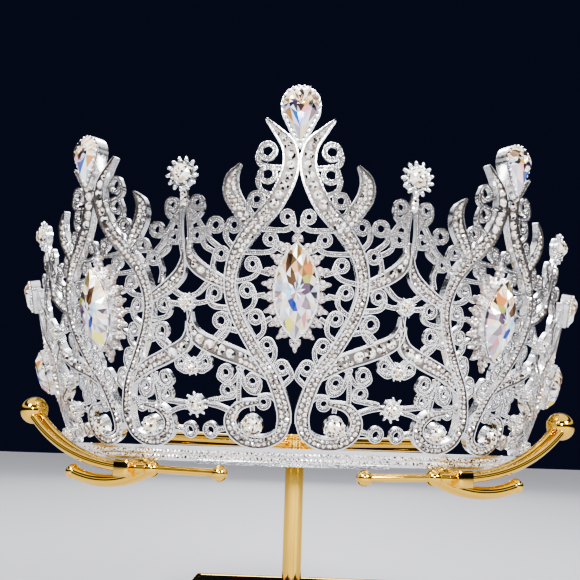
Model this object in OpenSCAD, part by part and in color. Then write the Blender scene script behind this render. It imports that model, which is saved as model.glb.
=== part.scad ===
/* [Crown] */
// Height of the centre panel above the underside of the band
crown_h = 100; // [88:1:112]
// Radius of the wall where it leaves the band
wall_base_r = 82.8; // [76:0.2:90]
// How far the wall leans out from the band to its top
lean = 24.6; // [16:0.2:30]
// How far the wall bulges out half way up
bow = 4.6; // [1:0.2:7]
// Angle from the middle of one main panel to the middle of the next
pitch = 35; // [33:0.5:36]

/* [Band] */
// Height of the band
band_h = 4.2; // [3.4:0.1:6]
// Thickness of the band
band_t = 2.4; // [2:0.1:3.4]
// Angle from the middle of the front to each end of the band
band_half = 92; // [86:1:100]
// Depth of the channel that the small stones of the band sit in
channel = 0.5; // [0.3:0.1:0.8]
// Height of each rim of the band
rim_h = 0.7; // [0.5:0.1:1.2]
// Drop of the thicker centre strip below the band
strip_drop = 0.6; // [0.4:0.1:1.2]
// Angle from the middle of the front to each end of the centre strip
strip_half = 19; // [12:1:24]

/* [Ribbons and wires] */
// Width of the widest ribbon
ribbon_w = 5; // [4.4:0.1:5.6]
// Thickness of the ogee ribbons
ribbon_t = 1.8; // [1.7:0.1:2.6]
// Thickness of the leaves
leaf_t = 1.4; // [1.2:0.1:1.7]
// Width of a wire
wire_w = 1.1; // [1:0.1:1.5]
// Thickness of a wire
wire_t = 1.1; // [0.9:0.1:1.3]

/* [Stones] */
// Length of the marquise stone
marquise_l = 25; // [21:0.5:27]
// Width of the marquise stone
marquise_w = 11; // [9:0.5:12]
// Length of the pear stone
pear_l = 15.4; // [13:0.2:16.4]
// Width of the pear stone
pear_w = 9.6; // [8:0.2:11]
// Diameter of the round stones in the ring scrolls
ring_stone_d = 5; // [4:0.2:5.6]
// Diameter of the stones in the flower finials
finial_stone_d = 6; // [5:0.2:6.8]
// Diameter of the stones low on the seams
flower_stone_d = 4.2; // [3.6:0.2:5]
// Diameter of the two small stones high on each seam
small_stone_d = 2.8; // [2.4:0.2:3.4]
// Height of a stone's crown, as a share of its width
crown_share = 0.2; // [0.14:0.01:0.26]
// Depth of a stone's pavilion, as a share of its width
pavilion_share = 0.22; // [0.16:0.01:0.32]
// Size of the table, as a share of the stone
table_share = 0.58; // [0.5:0.01:0.7]
// Thickness of a stone's girdle
girdle_t = 0.5; // [0.3:0.1:0.8]
// Wall of a stone's setting
setting_w = 0.9; // [0.7:0.1:1.2]
// Height of the studs under the round stones, in front of the middle of the wall
stud_h = 1.8; // [1.4:0.1:2.6]
// Metal behind the point of a stone, in front of the ribbons
setting_floor = 0.2; // [0.1:0.1:0.8]
// Gap between a stone and its setting
stone_gap = 0.12; // [0.06:0.02:0.2]
// Reach of the petals round the marquise stone, at their tips
petal_tip = 4.2; // [3.4:0.1:4.8]
// Reach of the petals round the marquise stone, where they part
petal_root = 2.2; // [1.2:0.1:2.8]
// Reach of the beads round a flower
flower_reach = 1.8; // [1.3:0.1:2.2]

/* [Stand] */
// Side of the square base plate
base_w = 84; // [76:1:110]
// Thickness of the base plate
base_t = 4; // [3:0.5:8]
// Height from the top of the base plate to the underside of the band
lift = 49.5; // [42:0.5:90]
// Diameter of the post
post_d = 7.2; // [6:0.2:10]
// Diameter of the foot of the post
foot_d = 14; // [12:0.5:24]
// Height of the foot of the post
foot_h = 2.4; // [1.6:0.2:4]
// Diameter of the hub
hub_d = 15; // [12:0.5:18]
// Height of the hub
hub_h = 6.6; // [5.6:0.2:9]
// Height of the underside of the hub above the underside of the band
hub_up = 3.4; // [2:0.2:6]
// Diameter of the arms
arm_d = 4.4; // [3.6:0.2:5]
// Diameter of the twin rails
rail_d = 2.6; // [2.2:0.1:3]
// Distance between the middles of the twin rails
rail_gap = 2.9; // [2.7:0.1:3.4]
// Diameter of the brace below the rails
brace_d = 3.8; // [3:0.2:4.4]
// Length along the band of each block that the band rests on
block_l = 6; // [5:0.2:8]
// Depth of the blocks, across the band
block_w = 7.4; // [6.4:0.2:9]
// Height of the blocks
block_h = 5; // [4.4:0.2:6]
// Diameter of the rods under the band
rod_d = 2.2; // [1.8:0.1:2.6]
// Diameter of the outer end balls
end_ball_d = 9.2; // [8:0.2:11]
// Diameter of the knob where each brace meets its rod
knob_d = 4.8; // [4.4:0.2:5.4]
// Diameter of the ball at the front end of each rod
rod_ball_d = 4.4; // [3.8:0.2:5]
// Angle from the middle of the front to the end balls
tip_a = 68; // [64:1:74]
// How far the end balls stand outside the band
tip_out = 15.5; // [14:0.5:18]
// Height of the end balls above the underside of the band
tip_up = 14.6; // [12:0.2:18]
// Gap between the arms and the inside of the band
arm_gap = 1.2; // [0.6:0.2:2]
// Gap between pieces that rest on each other
seat_gap = 0.15; // [0.05:0.05:0.3]

/* [Hidden] */
$fn = 48;

silver = [0.85, 0.86, 0.88];
gold = [0.86, 0.66, 0.24];
crystal = [0.75, 0.88, 1];

// Underside of the band above the floor
z0 = base_t + lift;
half = pitch / 2;
// Width of half a panel at the band
half_w = wall_base_r * half * PI / 180;

// Panels from left to right: place in pitches, width and height as shares of the centre panel
panels = [
    [-1.9, 0.8, 0.6],
    [-1, 1, 0.94],
    [0, 1, 1],
    [1, 1, 0.94],
    [1.9, 0.8, 0.6]];
function panel_at(p) = panels[p][0];
function panel_w(p) = panels[p][1];
function panel_h(p) = panels[p][2];
function panel_size(p) = (panel_w(p) + panel_h(p)) / 2;
function is_main(p) = panel_w(p) == 1;

// Seams between the panels: place in pitches, height as a share of the centre panel
seams = [[-1.5, 0.88], [-0.5, 0.97], [0.5, 0.97], [1.5, 0.88]];

// Half of a panel's ornament: x is a share of half the pitch, z of the crown's height
// and w of the widest ribbon
ogee = [ // x, z, w
    [0.28, 0.897, 0.15], [0.19, 0.865, 0.5], [0.088, 0.82, 0.88],
    [0.08, 0.755, 0.98], [0.2, 0.672, 1], [0.376, 0.609, 0.96],
    [0.53, 0.54, 0.86], [0.588, 0.46, 0.75], [0.53, 0.384, 0.75],
    [0.37, 0.298, 0.76], [0.2, 0.226, 0.8], [0.09, 0.14, 0.9]];
upper_leaf = [ // x, z, w
    [0.49, 0.779, 0.12], [0.565, 0.742, 0.75], [0.565, 0.7, 1],
    [0.49, 0.656, 0.95], [0.385, 0.605, 0.7]];
second_leaf = [ // x, z, w
    [0.905, 0.583, 0.12], [0.935, 0.54, 0.65], [0.88, 0.505, 0.85],
    [0.75, 0.484, 0.75], [0.58, 0.468, 0.4]];
lower_leaf = [ // x, z, w
    [0.975, 0.395, 0.12], [0.985, 0.363, 0.55], [0.92, 0.328, 0.9],
    [0.7, 0.297, 1], [0.46, 0.271, 0.9], [0.22, 0.232, 0.7]];
// Ring scroll: centre, half width as a share of half the pitch, half height as a share
// of the crown's height, first and last angle, widths as shares of the widest ribbon
scroll_x = 0.28;
scroll_z = 0.053;
band_sink = 0.35; // how far, in millimetres, it runs into the band
scroll_at = [0.37, (band_h - band_sink + ribbon_w * 0.41) / crown_h + scroll_z];
scroll_turn = [175, 455];
scroll_w = [0.86, 0.75, 0.78, 0.84, 0.83, 0.74, 0.56, 0.3];
// Wire loops of a main panel: centre, and radius as a share of half the panel's width
loops = [ // x, z, r
    [0.34, 0.684, 0.08], [0.291, 0.57, 0.106], [0.425, 0.505, 0.092], [0.436, 0.437, 0.085],
    [0.371, 0.373, 0.085], [0.223, 0.31, 0.106], [0.389, 0.204, 0.104]];
// Loop that stands on the band beside each seam
foot_loop = [0.88, 0.104];
// Straight wires from x, z to x, z: of every panel, of the main and of the small panels
spokes = [[0.68, 0.115, 0.96, 0.15]];
main_spokes = [[0.22, 0.437, 0.36, 0.437]];
small_spokes = [[0.2, 0.44, 0.56, 0.44]];
// Wire on the middle line of every panel, from z to z
stem = [0.75, 0.85];
// Heights of the stones, as shares of the crown's height
marquise_at = 0.448;
pear_top = 0.985;
ring_stone_at = [0.42, 0.105];
finial_at = 0.775;
flower_at = 0.161;
small_at = [0.264, 0.434];
leg_foot = [0.9, 0.575];

// Places along the cradle: angles from the middle of the front, and offsets in millimetres
block_a = 35;
knob_a = 29.5;
front_a = 14;
rest_a = 50;
rest_out = 3.4;
rest_up = 0.6;
brace_a = 41;
brace_drop = 4;
brace_end_a = 51;
brace_out = 6;
brace_up = -4.6;

// The wall's radius and slope at height z above the underside of the band
function rise(z) = (z - band_h) / (crown_h - band_h);
function wall_r(z) = wall_base_r + lean * rise(z) + bow * 4 * rise(z) * (1 - rise(z));
function wall_slope(z) =
    atan((lean + bow * 4 * (1 - 2 * rise(z))) / (crown_h - band_h));
// Degrees round the wall for each millimetre along it
function per_mm(z) = 180 / PI / wall_r(z);
function wall_point(a, z, off = 0) =
    let (r = wall_r(z) + off) [r * sin(a), -r * cos(a), z0 + z];

// A point of a panel or a seam as an angle and a height
function on_panel(p, x, z) = [
    (panel_at(p) * 2 + x * panel_w(p)) * half,
    band_h + (z * crown_h - band_h) * panel_h(p)];
function on_seam(s, z) = [
    seams[s][0] * pitch,
    band_h + (z * crown_h - band_h) * seams[s][1]];

// Faces of rings of k points: open with two ends, or closed into a loop
function quad_faces(a, b, j, k) = [
    [a * k + j, b * k + j, b * k + (j + 1) % k],
    [a * k + j, b * k + (j + 1) % k, a * k + (j + 1) % k]];
function cap_faces(list) = [for (i = [1:len(list) - 2]) [list[0], list[i], list[i + 1]]];
function tube_faces(n, k) = concat(
    [for (i = [0:n - 2], j = [0:k - 1]) each quad_faces(i, i + 1, j, k)],
    cap_faces([for (j = [0:k - 1]) j]),
    cap_faces([for (j = [k - 1:-1:0]) (n - 1) * k + j]));
function loop_faces(n, k) = [
    for (i = [0:n - 1], j = [0:k - 1]) each quad_faces(i, (i + 1) % n, j, k)];

// Direction along a path of angles and heights, in millimetres on the wall
function along(path, i, closed = false) =
    let (n = len(path),
        a = closed ? path[(i + n - 1) % n] : path[max(i - 1, 0)],
        b = closed ? path[(i + 1) % n] : path[min(i + 1, n - 1)],
        dx = (b[0] - a[0]) / per_mm(path[i][1]), dz = b[1] - a[1])
    [dx, dz] / norm([dx, dz]);
// The point s millimetres to the left of a path's point i
function beside(path, i, s, off, closed = false) =
    let (d = along(path, i, closed))
    wall_point(path[i][0] - d[1] * s * per_mm(path[i][1]), path[i][1] + d[0] * s, off);

// A flat ribbon along a path of angles, heights and widths
module strip(path, t)
    polyhedron([for (i = [0:len(path) - 1]) let (w = path[i][2] / 2) each [
        beside(path, i, w, -t / 2), beside(path, i, w, t / 2),
        beside(path, i, -w, t / 2), beside(path, i, -w, -t / 2)]],
        tube_faces(len(path), 4));

// A ring of wire on the wall, flat at the back and ridged at the front
module wire_loop(at, r) {
    path = [for (t = [-90:72:198]) [
        at[0] + r * half_w * cos(t) * per_mm(at[1]), at[1] + r * crown_h / 4 * sin(t)]];
    polyhedron([for (i = [0:len(path) - 1]) each [
        beside(path, i, wire_w / 2, -wire_t / 2, true), beside(path, i, 0, wire_t / 2, true),
        beside(path, i, -wire_w / 2, -wire_t / 2, true)]],
        loop_faces(len(path), 3));
}

module wire(a, b)
    strip([concat(a, wire_w), concat(b, wire_w)], wire_t);

// Places a piece on the wall: x along it, y up it, z outwards
module on_wall(at)
    translate(wall_point(at[0], at[1]))
        rotate([90 + wall_slope(at[1]), 0, at[0]])
            children();

// Outlines of the stones
function navette(l, w) =
    let (r = (l * l + w * w) / w / 4, a = asin(l / 2 / r), c = w / 2 - r)
    concat([for (t = [-1:1 / 3:0.9]) [c + r * cos(a * t), r * sin(a * t)]],
        [for (t = [1:-1 / 3:-0.9]) [-c - r * cos(a * t), r * sin(a * t)]]);
function pear(l, w) =
    let (c = (l - w) / 2, b = acos(w / 2 / (l - w / 2)))
    concat([[0, -l / 2]],
        [for (j = [0:8]) let (t = b - 90 + j * (360 - 2 * b) / 8)
            [w / 2 * cos(t), c + w / 2 * sin(t)]]);
function disc(d) =
    let (n = d < 4 ? 6 : 8)
    [for (j = [0:n - 1]) d / 2 * [cos((j + 0.5) * 360 / n), sin((j + 0.5) * 360 / n)]];
function stone_outline(kind, l, w) =
    kind == "navette" ? navette(l, w) : kind == "pear" ? pear(l, w) : disc(w);

// Back of a setting, in front of the middle of the wall
cup_back = -leaf_t / 4;
// Bottom of a cup's hollow, in front of the ribbons that cross behind it
cup_floor = ribbon_t / 2 + setting_floor;
// Top of a setting: a flat-backed round stone lies on it, a pointed one sinks into it
function pavilion(kind, w) = kind == "disc" ? 0 : pavilion_share * w;
function cup_top(kind, w) =
    kind == "disc" ? stud_h : cup_floor + stone_gap + pavilion(kind, w);

// A cut stone: table, crown, girdle, and a pavilion if it is pointed
module stone(kind, l, w) {
    p = stone_outline(kind, l, w);
    base = cup_top(kind, w) + stone_gap;
    crown = [[1, 0], [1, girdle_t], [table_share, girdle_t + crown_share * w]];
    levels = kind == "disc" ? crown : concat([[0.04, -pavilion(kind, w)]], crown);
    polyhedron([for (v = levels, q = p) [q[0] * v[0], q[1] * v[0], base + v[1]]],
        tube_faces(len(levels), len(p)));
}

// The setting of a stone: a stud under a flat-backed one, a cup round a pointed one
module setting(kind, l, w) {
    top = cup_top(kind, w);
    difference() {
        translate([0, 0, cup_back])
            linear_extrude(top - cup_back)
                polygon(stone_outline(kind, l + 2 * setting_w, w + 2 * setting_w));
        if (kind != "disc")
            hull() {
                translate([0, 0, top])
                    linear_extrude(girdle_t)
                        polygon(stone_outline(kind, l + 2 * stone_gap, w + 2 * stone_gap));
                translate([0, 0, cup_floor])
                    linear_extrude(girdle_t / 2)
                        polygon(stone_outline(kind, l, w) * 0.1);
            }
    }
}

// A flat rosette whose petals reach out from an outline
module petals(points, root, tip, t)
    translate([0, 0, -t / 2])
        linear_extrude(t)
            polygon([for (j = [0:len(points) - 1])
                points[j] * (1 + (j % 2 == 0 ? root : tip) / norm(points[j]))]);

module flower(d, n, reach)
    petals([for (j = [0:2 * n - 1]) d / 2 * [cos(j * 180 / n), sin(j * 180 / n)]],
        setting_w / 2, reach, leaf_t * 0.9);

// Points evenly along an outline
function along_outline(p, m) = [
    for (j = [0:len(p) - 1], k = [0:m - 1])
        p[j] + (p[(j + 1) % len(p)] - p[j]) * k / m];

module band() {
    profile = [ // radius beyond the wall, height
        [-band_t / 2, 0], [band_t / 2, 0], [band_t / 2, rim_h],
        [band_t / 2 - channel, rim_h], [band_t / 2 - channel, band_h - rim_h],
        [band_t / 2, band_h - rim_h], [band_t / 2, band_h], [-band_t / 2, band_h]];
    translate([0, 0, z0])
        rotate([0, 0, -90 - band_half])
            rotate_extrude(angle = 2 * band_half, $fn = 44)
                polygon([for (q = profile) [wall_r(q[1]) + q[0], q[1]]]);
    // Thicker strip at the front
    translate([0, 0, z0 - strip_drop])
        rotate([0, 0, -90 - strip_half])
            rotate_extrude(angle = 2 * strip_half, $fn = 48)
                translate([wall_r(0) - band_t / 4, 0])
                    square([band_t, strip_drop + rim_h / 2]);
    // Eyelet at each end
    for (side = [-1, 1])
        on_wall([side * (band_half + band_h / 2 * per_mm(0)), band_h / 2])
            translate([0, 0, -band_t / 4])
                difference() {
                    cylinder(d = band_h + wire_w, h = band_t / 2, $fn = 8);
                    translate([0, 0, -band_t])
                        cylinder(d = band_h - wire_w, h = 2 * band_t, $fn = 8);
                }
}

module half_panel(p, side) {
    w = ribbon_w * panel_size(p);
    ribbons = [[ogee, ribbon_t], [upper_leaf, leaf_t], [second_leaf, leaf_t],
        [lower_leaf, leaf_t]];
    for (r = ribbons)
        strip([for (q = r[0]) concat(on_panel(p, side * q[0], q[1]), q[2] * w)], r[1]);
    turns = len(scroll_w) - 1;
    strip([for (i = [0:turns])
        let (t = scroll_turn[0] + (scroll_turn[1] - scroll_turn[0]) * i / turns)
        concat(on_panel(p, side * (scroll_at[0] + scroll_x * cos(t)),
            scroll_at[1] + scroll_z * sin(t)), scroll_w[i] * w)], leaf_t * 1.1);
    for (s = concat(spokes, is_main(p) ? main_spokes : small_spokes))
        wire(on_panel(p, side * s[0], s[1]), on_panel(p, side * s[2], s[3]));
    if (is_main(p)) {
        for (q = loops)
            wire_loop(on_panel(p, side * q[0], q[1]), q[2]);
        foot = on_panel(p, side * foot_loop[0], 0)[0];
        wire_loop([foot, band_h - band_sink + foot_loop[1] * crown_h / 4], foot_loop[1]);
    }
    on_wall(on_panel(p, side * ring_stone_at[0], ring_stone_at[1]))
        setting("disc", ring_stone_d * panel_size(p), ring_stone_d * panel_size(p));
}

function marquise_size(p) = [marquise_l * panel_h(p), marquise_w * panel_w(p)];
function pear_size(p) = [pear_l, pear_w] * panel_size(p);
function pear_at(p) =
    on_panel(p, 0, pear_top) - [0, pear_size(p)[0] / 2 + setting_w + stone_gap];

module panel(p) {
    m = marquise_size(p);
    on_wall(on_panel(p, 0, marquise_at)) {
        setting("navette", m[0], m[1]);
        petals(along_outline(navette(m[0], m[1]), 3), petal_root, petal_tip, leaf_t * 0.9);
    }
    on_wall(pear_at(p))
        setting("pear", pear_size(p)[0], pear_size(p)[1]);
    wire(on_panel(p, 0, stem[0]), on_panel(p, 0, stem[1]));
    for (side = [-1, 1])
        half_panel(p, side);
}

module seam(s) {
    on_wall(on_seam(s, finial_at)) {
        setting("disc", finial_stone_d, finial_stone_d);
        flower(finial_stone_d, 8, flower_reach);
    }
    on_wall(on_seam(s, flower_at)) {
        setting("disc", flower_stone_d, flower_stone_d);
        flower(flower_stone_d, 6, flower_reach);
    }
    for (z = small_at)
        on_wall(on_seam(s, z))
            setting("disc", small_stone_d, small_stone_d);
    wire(on_seam(s, flower_at), on_seam(s, 0.5));
    // Two legs from the leaves on each side to the finial
    for (p = [s, s + 1])
        wire(on_panel(p, (p == s ? 1 : -1) * leg_foot[0], leg_foot[1]),
            on_seam(s, finial_at - 0.03));
}

module crown_frame()
    color(silver) {
        band();
        for (p = [0:4])
            panel(p);
        for (s = [0:3])
            seam(s);
    }

module marquise_stone(p)
    color(crystal)
        on_wall(on_panel(p, 0, marquise_at))
            stone("navette", marquise_size(p)[0], marquise_size(p)[1]);

module pear_stone(p)
    color(crystal)
        on_wall(pear_at(p))
            stone("pear", pear_size(p)[0], pear_size(p)[1]);

module ring_stone(p, side)
    color(crystal)
        on_wall(on_panel(p, side * ring_stone_at[0], ring_stone_at[1]))
            stone("disc", ring_stone_d * panel_size(p), ring_stone_d * panel_size(p));

module seam_stone(s, z, d)
    color(crystal)
        on_wall(on_seam(s, z))
            stone("disc", d, d);

module stand_base()
    color(gold)
        translate([-base_w / 2, -base_w / 2, 0])
            cube([base_w, base_w, base_t]);

module stand_post()
    color(gold)
        translate([0, 0, base_t + seat_gap]) {
            cylinder(d = foot_d, h = foot_h);
            cylinder(d = post_d, h = lift + hub_up - 2 * seat_gap);
        }

// Places of the stand's joints: angle from the front, radius, height above the band's underside
function spot(side, a, r, z) = [side * r * sin(a), -r * cos(a), z0 + z];

// A round bar along the arc from p through m to q
module arc_bar(p, m, q, d) {
    a = q - p;
    b = m - p;
    n = cross(a, b);
    c = p + cross(a * a * b - b * b * a, n) / (2 * n * n);
    x = (p - c) / norm(p - c);
    z = -n / norm(n);
    y = cross(z, x);
    turn = atan2((q - c) * y, (q - c) * x);
    multmatrix([[x[0], y[0], z[0], c[0]], [x[1], y[1], z[1], c[1]], [x[2], y[2], z[2], c[2]]])
        rotate_extrude(angle = turn < 0 ? turn + 360 : turn)
            translate([norm(p - c), 0])
                circle(d = d);
}

module straight_bar(p, q, d) {
    v = q - p;
    translate(p)
        rotate([0, acos(v[2] / norm(v)), atan2(v[1], v[0])])
            cylinder(d = d, h = norm(v));
}

module ball(p, d)
    translate(p)
        sphere(d = d);

// One side of the cradle: arm, block, twin rails, brace, rod and balls
module cradle_side(side) {
    joint_d = arm_d * 1.15;
    hub_mid = hub_up + hub_h / 2;
    under = -seat_gap - block_h / 2;
    edge = wall_r(0) + band_t / 2;
    inner_r = wall_r(0) - band_t / 2 - joint_d / 2 - arm_gap;
    corner = spot(side, block_a, inner_r, hub_mid);
    turn = spot(side, block_a, inner_r, under);
    block = spot(side, block_a, edge + rail_gap / 2, under);
    straight_bar(spot(side, block_a, hub_d / 4, hub_mid), corner, arm_d);
    ball(corner, joint_d);
    straight_bar(corner, turn, arm_d);
    ball(turn, joint_d);
    straight_bar(turn, block, arm_d);
    translate(block)
        rotate([0, 0, side * block_a])
            cube([block_l, block_w, block_h], center = true);
    // Twin rails side by side, up to the end ball
    for (k = [-0.5, 0.5])
        arc_bar(
            spot(side, block_a, edge + (k + 0.5) * rail_gap, under),
            spot(side, rest_a, edge + rest_out + (k + 0.5) * rail_gap, rest_up),
            spot(side, tip_a, edge + tip_out + k * rail_gap, tip_up), rail_d);
    ball(spot(side, tip_a, edge + tip_out, tip_up), end_ball_d);
    // Brace below the rails, from the knob to a small ball, and the rod to the front ball
    knob = spot(side, knob_a, edge, -seat_gap - knob_d / 2);
    brace_end = spot(side, brace_end_a, edge + brace_out, brace_up);
    arc_bar(knob, spot(side, brace_a, edge + rail_d / 2, under - brace_drop), brace_end, brace_d);
    ball(brace_end, brace_d * 1.2);
    straight_bar(block, knob, arm_d * 0.8);
    ball(knob, knob_d);
    front = spot(side, front_a, edge, -seat_gap - strip_drop - rod_ball_d / 2);
    straight_bar(knob, front, rod_d);
    ball(front, rod_ball_d);
}

module stand_cradle()
    color(gold) {
        translate([0, 0, z0 + hub_up])
            cylinder(d = hub_d, h = hub_h);
        for (side = [-1, 1])
            cradle_side(side);
    }

crown_frame();
for (p = [0:4]) {
    marquise_stone(p);
    pear_stone(p);
    ring_stone(p, -1);
    ring_stone(p, 1);
}
for (s = [0:3]) {
    seam_stone(s, finial_at, finial_stone_d);
    seam_stone(s, flower_at, flower_stone_d);
    for (z = small_at)  // seam_stones
            seam_stone(s, z, small_stone_d);
}
stand_base();
stand_post();
stand_cradle();
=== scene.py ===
import math
import random

import bpy
import numpy as np
from mathutils import Matrix, Vector


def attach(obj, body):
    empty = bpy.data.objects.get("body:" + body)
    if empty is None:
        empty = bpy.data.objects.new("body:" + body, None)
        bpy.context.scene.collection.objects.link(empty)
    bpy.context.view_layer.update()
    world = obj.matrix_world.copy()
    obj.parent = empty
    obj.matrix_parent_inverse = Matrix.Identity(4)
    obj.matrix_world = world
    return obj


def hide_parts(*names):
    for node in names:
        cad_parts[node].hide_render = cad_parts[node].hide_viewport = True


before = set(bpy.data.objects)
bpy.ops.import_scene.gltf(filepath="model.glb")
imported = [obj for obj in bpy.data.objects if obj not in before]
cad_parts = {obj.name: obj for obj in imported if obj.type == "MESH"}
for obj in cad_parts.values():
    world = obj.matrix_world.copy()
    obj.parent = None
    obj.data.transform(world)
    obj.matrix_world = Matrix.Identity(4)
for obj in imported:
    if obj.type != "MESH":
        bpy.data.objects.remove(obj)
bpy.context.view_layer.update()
mm = 0.001
random.seed(7)

# The crown's wall, in millimetres and degrees round from the middle of the front
crown = {
    "height": 100, "baseRadius": 82.8, "lean": 24.6, "bow": 4.6, "pitch": 35,
    "bandHeight": 4.2, "bandThick": 2.4, "bandHalf": 92, "lift": 53.5,
}
# Panels and the seams between them, from left to right, as shares of the centre one
panels = [
    {"at": -1.9, "wide": 0.8, "tall": 0.6}, {"at": -1, "wide": 1, "tall": 0.94},
    {"at": 0, "wide": 1, "tall": 1},
    {"at": 1, "wide": 1, "tall": 0.94}, {"at": 1.9, "wide": 0.8, "tall": 0.6},
]
seams = [
    {"at": -1.5, "wide": 1, "tall": 0.88}, {"at": -0.5, "wide": 1, "tall": 0.97},
    {"at": 0.5, "wide": 1, "tall": 0.97}, {"at": 1.5, "wide": 1, "tall": 0.88},
]


def rise(z):
    return (z - crown["bandHeight"]) / (crown["height"] - crown["bandHeight"])


def wallRadius(z):
    h = rise(z)
    return crown["baseRadius"] + crown["lean"] * h + crown["bow"] * 4 * h * (1 - h)


def wallFrame(angle, z):
    # Point on the wall with the directions along it, up it and out of it
    a = math.radians(angle)
    h = rise(z)
    slope = math.atan((crown["lean"] + crown["bow"] * 4 * (1 - 2 * h))
                      / (crown["height"] - crown["bandHeight"]))
    radial = np.array([math.sin(a), -math.cos(a), 0.0])
    upward = np.array([0.0, 0.0, 1.0])
    point = (radial * wallRadius(z) + upward * (z + crown["lift"])) * mm
    along = np.array([math.cos(a), math.sin(a), 0.0])
    up = radial * math.sin(slope) + upward * math.cos(slope)
    out = radial * math.cos(slope) - upward * math.sin(slope)
    return point, along, up, out


def wallMatrix(angle, z, x=0.0, y=0.0, out=0.0, turn=0.0, size=1.0):
    # Places a small piece on the wall, x mm along it, y mm up it, turned in its plane
    point, along, up, outward = wallFrame(angle, z)
    point = point + (along * x + up * y + outward * out) * mm
    c, s = math.cos(math.radians(turn)), math.sin(math.radians(turn))
    matrix = np.eye(4)
    matrix[:3, 0] = (along * c + up * s) * size
    matrix[:3, 1] = (up * c - along * s) * size
    matrix[:3, 2] = outward * size
    matrix[:3, 3] = point
    return matrix


def onWall(part, x, z):
    # Angle and height of a spot on a panel or seam; x is a share of half the pitch, z of the
    # crown's height
    low = crown["bandHeight"]
    return ((part["at"] * 2 + x * part["wide"]) * crown["pitch"] / 2,
            low + (z * crown["height"] - low) * part["tall"])


def panelSize(panel):
    return (panel["wide"] + panel["tall"]) / 2


def smoothPath(rows, steps):
    # Smooth curve through the rows, in a number of steps from each row to the next
    p = np.array(rows, float)
    p = np.vstack([2 * p[0] - p[1], p, 2 * p[-1] - p[-2]])
    out = []
    for i in range(1, len(p) - 2):
        for k in range(steps):
            t = k / steps
            out.append(0.5 * (2 * p[i] + (p[i + 1] - p[i - 1]) * t
                       + (2 * p[i - 1] - 5 * p[i] + 4 * p[i + 1] - p[i + 2]) * t * t
                       + (3 * p[i] - p[i - 1] - 3 * p[i + 1] + p[i + 2]) * t ** 3))
    out.append(p[-2])
    return np.array(out)


def pathFrames(rows):
    # Points in metres with the path's direction, the wall's outward side and the side across
    frames = [wallFrame(*r[:2]) for r in rows]
    point, out = (np.array([f[k] for f in frames]) for k in (0, 3))
    ahead = np.gradient(point, axis=0)
    ahead /= np.linalg.norm(ahead, axis=1)[:, None]
    side = np.cross(ahead, out)
    side /= np.linalg.norm(side, axis=1)[:, None]
    return point, ahead, out, side


def pathSampler(rows):
    # Length of a path in millimetres, and its row and frame at any distance along it
    columns = np.asarray(rows, float).T
    frames = pathFrames(rows)
    steps = np.linalg.norm(np.diff(frames[0], axis=0), axis=1)
    run = np.concatenate([[0], np.cumsum(steps)]) / mm

    def sample(s):
        row = [np.interp(s, run, column) for column in columns]
        return row, [np.array([np.interp(s, run, v[:, j]) for j in range(3)]) for v in frames]
    return run[-1], sample


def pathMatrix(at, across, out, size=1.0, tilt=None):
    # Place beside a path, in millimetres, with a small tilt as a rotation matrix
    point, ahead, outward, side = at
    m = np.eye(4)
    m[:3, :3] = np.column_stack([ahead, -side, outward]) * size
    if tilt is not None:
        m[:3, :3] = m[:3, :3] @ tilt
    m[:3, 3] = point + (side * across + outward * out) * mm
    return m


def pathPlaces(rows, spacing, out):
    # Places at even spacings along a path, from half a spacing in
    length, sample = pathSampler(rows)
    count = max(int(length / spacing - 0.5), 1)
    return [pathMatrix(sample((k + 0.5) * spacing)[1], 0, out) for k in range(count)]


def smallTilt(degrees):
    # A turn of any size in the plane and a lean of a few degrees
    lean, roll = (Matrix.Rotation(math.radians(random.uniform(-degrees, degrees)), 3, axis)
                  for axis in "XY")
    return np.array(lean @ roll @ Matrix.Rotation(random.uniform(0, math.tau), 3, "Z"))


def deselectAll():
    bpy.ops.object.select_all(action="DESELECT")


def activate(piece):
    deselectAll()
    piece.select_set(True)
    bpy.context.view_layer.objects.active = piece


def finishPiece(name, piece, materials, replaced=(), angle=35):
    # Shades a piece, gives it its material and lets it ride with the object
    piece.name = piece.data.name = name
    activate(piece)
    if angle:
        bpy.ops.object.shade_smooth_by_angle(angle=math.radians(angle))
    piece.data.materials.clear()
    for material in materials:
        piece.data.materials.append(material)
    if replaced:
        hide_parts(*replaced)
    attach(piece, "root")
    return piece


def editMode():
    bpy.ops.object.mode_set(mode="EDIT")


def objectMode():
    bpy.ops.object.mode_set(mode="OBJECT")


def editFaces(piece, choose=lambda polygon: True):
    # Enters edit mode with the chosen faces selected, or all of them
    activate(piece)
    editMode()
    bpy.ops.mesh.select_mode(type="FACE")
    bpy.ops.mesh.select_all(action="DESELECT")
    objectMode()
    for polygon in piece.data.polygons:
        polygon.select = choose(polygon)
    editMode()


def extrudeUp(height):
    bpy.ops.mesh.extrude_region_move(TRANSFORM_OT_translate={"value": (0, 0, height * mm)})


def closeNormals(piece, merge=0.00001, slivers=None):
    # Merges near points, takes slivers out and turns the normals outwards
    activate(piece)
    editMode()
    bpy.ops.mesh.select_all(action="SELECT")
    bpy.ops.mesh.remove_doubles(threshold=merge)
    if slivers:
        bpy.ops.mesh.dissolve_degenerate(threshold=slivers)
    bpy.ops.mesh.normals_make_consistent(inside=False)
    objectMode()


def joinPieces(pieces):
    deselectAll()
    for piece in pieces:
        piece.select_set(True)
    bpy.context.view_layer.objects.active = pieces[0]
    bpy.ops.object.join()
    return pieces[0]


def linkPiece(name, data):
    piece = bpy.data.objects.new(name, data)
    bpy.context.collection.objects.link(piece)
    return piece


def movePiece(piece, place):
    piece.data.transform(Matrix(place.tolist()))


def startFrom(primitive, **values):
    # One of Blender's simple shapes, on which a piece is begun
    deselectAll()
    primitive(**values)
    return bpy.context.object


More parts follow.
